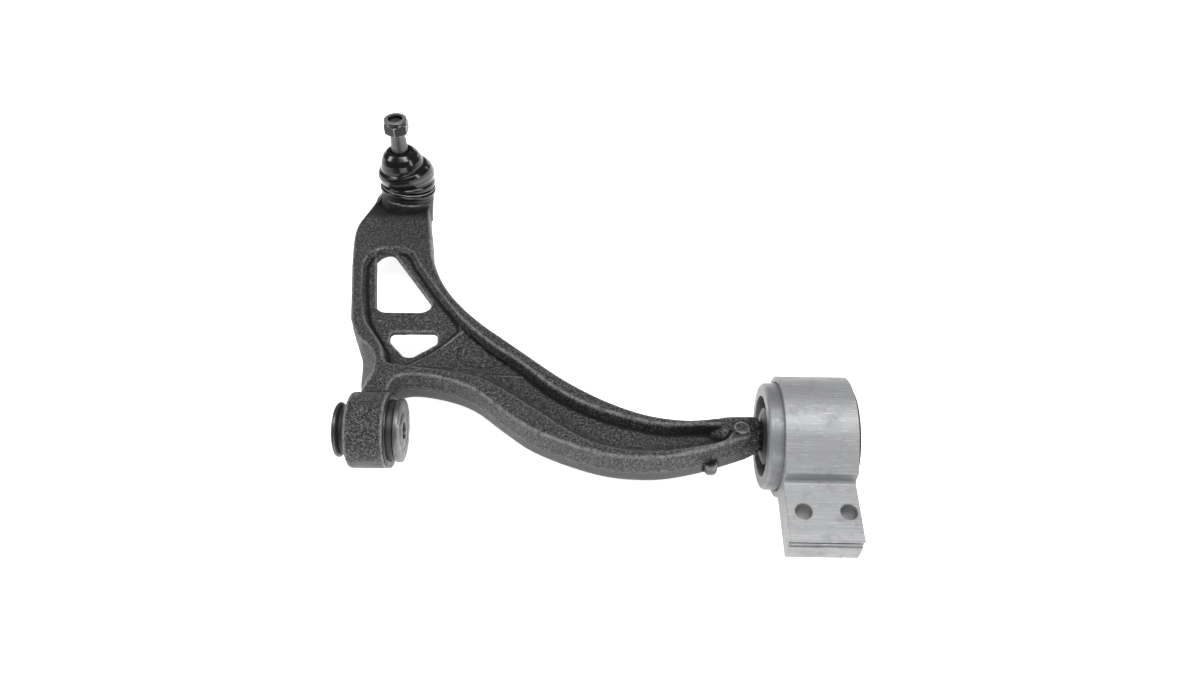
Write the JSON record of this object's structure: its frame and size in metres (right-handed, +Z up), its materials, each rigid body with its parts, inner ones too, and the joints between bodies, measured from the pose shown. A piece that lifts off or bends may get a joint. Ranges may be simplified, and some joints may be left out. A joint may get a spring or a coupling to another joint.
{
  "type": "suspension control arm",
  "caption": "Front lower control arm for a car: cast arm with ball joint, rubber bush at the front and a bushed aluminium bracket at the rear.",
  "frame": {"origin": "centre of the rear bracket's mounting face, midway between its two bolt holes", "axes": "+X along the pivot axis from the front bush to the rear bush, +Y outboard to the ball joint, +Z up, out of the mounting face"},
  "size_m": [0.4588, 0.4365, 0.1311],
  "materials": {
    "coated_iron": "black satin coating over a sand-cast surface",
    "bare_aluminium": "bare extrusion with fine drawing lines",
    "bush_can": "smooth satin grey",
    "core_aluminium": "machined",
    "plain_steel": "satin grey steel",
    "disc_steel": "dark satin steel",
    "phosphate_steel": "dark phosphate coating, lightly oiled",
    "bush_rubber": "matt black rubber",
    "boot_rubber": "smooth glossy black rubber",
    "seat_plastic": "natural acetal"
  },
  "bodies": {
    "bracket": {"rear_bracket": "bare_aluminium", "rear_can": "bush_can", "rear_end_rim": "bush_rubber"},
    "arm": {"arm_casting": "coated_iron", "front_outer_sleeve": "plain_steel", "front_rubber": "bush_rubber", "rear_stop_disc": "bush_rubber", "rear_core": "core_aluminium", "rear_rubber_spring": "bush_rubber", "rear_pin_nut": "phosphate_steel", "ball_housing": "plain_steel", "ball_seat": "seat_plastic", "housing_cover": "plain_steel", "circlip": "phosphate_steel", "boot_lower_ring": "plain_steel"},
    "front_sleeve": {"front_inner_sleeve": "plain_steel", "front_left_disc": "disc_steel", "front_right_disc": "disc_steel"},
    "boot": {"dust_boot": "boot_rubber"},
    "boot_collar": {"boot_upper_ring": "plain_steel"},
    "stud": {"ball_stud": "phosphate_steel", "stud_nut": "phosphate_steel"}
  },
  "joints": [
    {"name": "arm_swing", "type": "hinge", "parent": "bracket", "child": "arm", "pos_m": [-0.002, 0.0767, -0.013], "axis": [1, 0, 0], "range_deg": [-18, 18], "stiffness_Nm_per_rad": 95},
    {"name": "front_sleeve_twist", "type": "hinge", "parent": "arm", "child": "front_sleeve", "pos_m": [-0.372, 0.0767, -0.013], "axis": [1, 0, 0], "range_deg": [-18, 18]},
    {"name": "ball_rock", "type": "hinge", "parent": "arm", "child": "boot", "pos_m": [-0.384, 0.37589, -0.03462], "axis": [1, 0, 0], "range_deg": [-33, 15], "deforming": ["dust_boot"]},
    {"name": "ball_tilt", "type": "hinge", "parent": "boot", "child": "boot_collar", "pos_m": [-0.384, 0.37589, -0.03462], "axis": [0, 1, 0], "range_deg": [-10, 26]},
    {"name": "stud_spin", "type": "hinge", "parent": "boot_collar", "child": "stud", "pos_m": [-0.384, 0.37589, -0.03462], "axis": [0, 0.1392, 0.9903], "continuous": true}
  ],
  "couplings": [
    {"joint": "front_sleeve_twist", "follows": "arm_swing", "ratio": -1}
  ]
}
